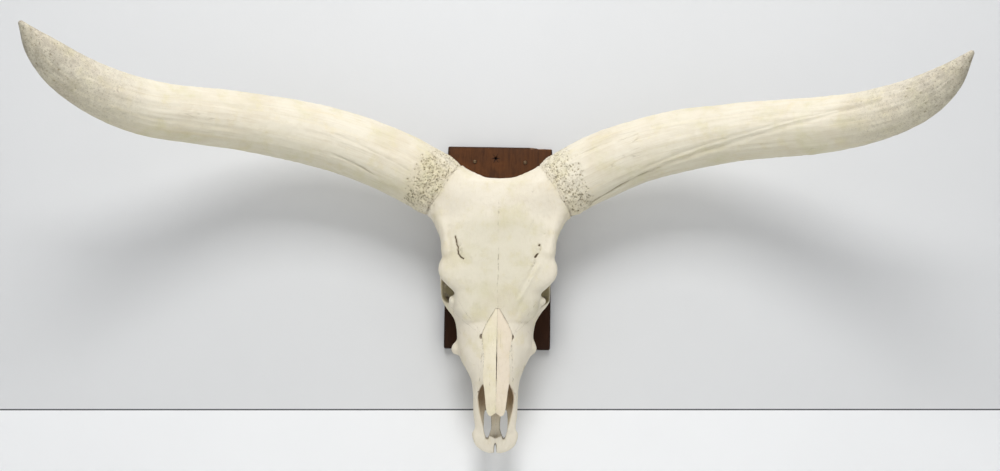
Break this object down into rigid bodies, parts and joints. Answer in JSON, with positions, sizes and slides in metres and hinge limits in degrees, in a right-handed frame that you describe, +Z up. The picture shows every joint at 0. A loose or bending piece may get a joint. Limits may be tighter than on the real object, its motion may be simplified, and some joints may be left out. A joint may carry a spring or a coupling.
{
  "type": "mounted longhorn steer skull",
  "caption": "Bleached longhorn steer skull without its lower jaw, with long bare horn cores, mounted nose down on an upright wooden board.",
  "frame": {"origin": "middle of the mounting board's flat back face, where it meets the wall", "axes": "+X to the viewer's right along the horns' span, +Y into the wall, +Z up; the nose points down (-Z)"},
  "size_m": [1.6728, 0.5485, 0.7352],
  "materials": {
    "bone": "dry bleached bone, matte",
    "horn_core": "dry bleached porous bone, matte",
    "wood": "dark reddish-brown stain, worn satin",
    "steel": "dull"
  },
  "bodies": {
    "root": {"board": "wood", "screw_left": "steel", "screw_right": "steel", "frontal": "bone", "braincase": "bone", "cheek_arch_left": "bone", "cheek_arch_right": "bone", "maxilla_left": "bone", "maxilla_right": "bone", "nasal_left": "bone", "nasal_right": "bone", "incisive_left": "bone", "incisive_right": "bone", "horn_core_left": "horn_core", "horn_core_right": "horn_core"}
  },
  "joints": []
}
